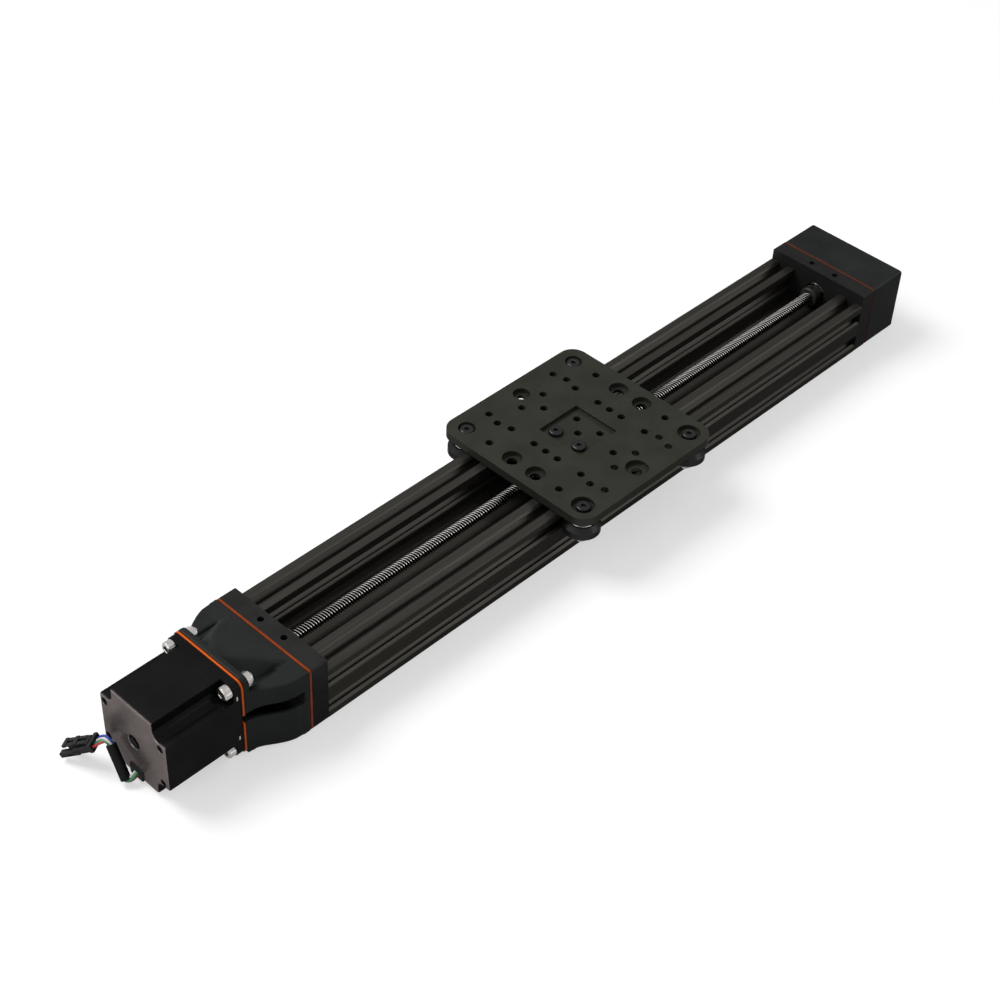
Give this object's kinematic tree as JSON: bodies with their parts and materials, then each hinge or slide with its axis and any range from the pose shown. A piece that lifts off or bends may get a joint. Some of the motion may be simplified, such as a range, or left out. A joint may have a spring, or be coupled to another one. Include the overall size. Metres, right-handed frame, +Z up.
{
  "type": "ball screw linear module",
  "caption": "Motor-driven linear module: slotted channel rail, V-wheel carriage plate, lead screw in the channel, bell-shaped motor mount and end plates.",
  "frame": {"origin": "underside of the rail, at the middle of its length and width", "axes": "+X along the travel from the motor to the idler end, +Y to the left seen from the motor, +Z up through the carriage plate"},
  "size_m": [0.6748, 0.125, 0.059],
  "materials": {
    "rail_anodised": "black anodised, satin",
    "plate_anodised": "black anodised, fine blast",
    "bearing_steel": "ground and polished",
    "bright_screws": "bright zinc or stainless",
    "black_screws": "black oxide",
    "orange_sheet": "matt orange polymer sheet",
    "moulded_black": "moulded, satin",
    "motor_black": "black paint, satin",
    "motor_grey": "dark grey paint, satin",
    "rubber_black": "matt",
    "lead_jacket": "matt sleeve over coloured wires",
    "connector_black": "moulded, matt",
    "screw_steel": "rolled stainless",
    "coupling_aluminium": "bare, turned",
    "rotor_steel": "laminated steel",
    "nut_polymer": "black acetal",
    "wheel_polymer": "black acetal, turned"
  },
  "bodies": {
    "frame": {"extrusion_rail": "rail_anodised", "motor_end_plate": "plate_anodised", "idler_end_plate": "plate_anodised", "motor_end_bearing": "bearing_steel", "idler_end_bearing": "bearing_steel", "motor_end_rail_screws": "bright_screws", "idler_end_rail_screws": "bright_screws", "motor_end_gasket": "orange_sheet", "idler_end_gasket": "orange_sheet", "motor_mount_housing": "moulded_black", "housing_screws": "bright_screws", "motor_spacer": "orange_sheet", "motor_front_bell": "motor_black", "motor_stator": "motor_black", "motor_rear_cover": "motor_grey", "motor_bearings": "bearing_steel", "motor_case_screws": "black_screws", "motor_mount_screws": "bright_screws", "motor_mount_nuts": "bright_screws", "lead_grommet": "rubber_black", "motor_lead": "lead_jacket", "lead_connector": "connector_black", "idler_end_cover": "moulded_black", "end_cover_screws": "black_screws"},
    "screw": {"lead_screw": "screw_steel", "screw_bearing_inner_rings": "bearing_steel", "screw_shims": "bearing_steel", "motor_end_lock_collar": "plate_anodised", "idler_end_lock_collar": "plate_anodised", "collar_set_screws": "black_screws", "shaft_coupling": "coupling_aluminium", "coupling_set_screws": "black_screws", "motor_shaft": "screw_steel", "motor_rotor": "rotor_steel"},
    "carriage": {"carriage_plate": "plate_anodised", "nut_block": "nut_polymer", "nut_block_screws": "black_screws", "nut_block_nuts": "bright_screws", "nut_preload_screw": "black_screws", "wheel_screws": "black_screws", "round_spacers": "plate_anodised", "eccentric_spacers": "bright_screws", "wheel_shims": "bearing_steel", "wheel_inner_rings": "bearing_steel", "wheel_lock_nuts": "bright_screws"},
    "motor_left_wheel": {"wheel_motor_left": "wheel_polymer", "wheel_bearings_motor_left": "bearing_steel"},
    "motor_right_wheel": {"wheel_motor_right": "wheel_polymer", "wheel_bearings_motor_right": "bearing_steel"},
    "idler_left_wheel": {"wheel_idler_left": "wheel_polymer", "wheel_bearings_idler_left": "bearing_steel"},
    "idler_right_wheel": {"wheel_idler_right": "wheel_polymer", "wheel_bearings_idler_right": "bearing_steel"}
  },
  "joints": [
    {"name": "screw_spin", "type": "hinge", "parent": "frame", "child": "screw", "pos_m": [0, 0, 0.03], "axis": [1, 0, 0], "range_deg": [-8325, 8325]},
    {"name": "carriage_slide", "type": "slide", "parent": "frame", "child": "carriage", "axis": [1, 0, 0], "range_m": [-0.1851, 0.1851]},
    {"name": "motor_left_wheel_spin", "type": "hinge", "parent": "carriage", "child": "motor_left_wheel", "pos_m": [-0.05, 0.05, 0.03], "axis": [0, 0, 1], "range_deg": [-987.9, 987.9]},
    {"name": "motor_right_wheel_spin", "type": "hinge", "parent": "carriage", "child": "motor_right_wheel", "pos_m": [-0.0495, -0.05, 0.03], "axis": [0, 0, 1], "range_deg": [-987.9, 987.9]},
    {"name": "idler_left_wheel_spin", "type": "hinge", "parent": "carriage", "child": "idler_left_wheel", "pos_m": [0.05, 0.05, 0.03], "axis": [0, 0, 1], "range_deg": [-987.9, 987.9]},
    {"name": "idler_right_wheel_spin", "type": "hinge", "parent": "carriage", "child": "idler_right_wheel", "pos_m": [0.0505, -0.05, 0.03], "axis": [0, 0, 1], "range_deg": [-987.9, 987.9]}
  ],
  "couplings": [
    {"joint": "carriage_slide", "follows": "screw_spin", "m_per_rad": -0.0012732},
    {"joint": "motor_left_wheel_spin", "follows": "screw_spin", "ratio": 0.11855},
    {"joint": "motor_right_wheel_spin", "follows": "screw_spin", "ratio": -0.11855},
    {"joint": "idler_left_wheel_spin", "follows": "screw_spin", "ratio": 0.11855},
    {"joint": "idler_right_wheel_spin", "follows": "screw_spin", "ratio": -0.11855}
  ]
}
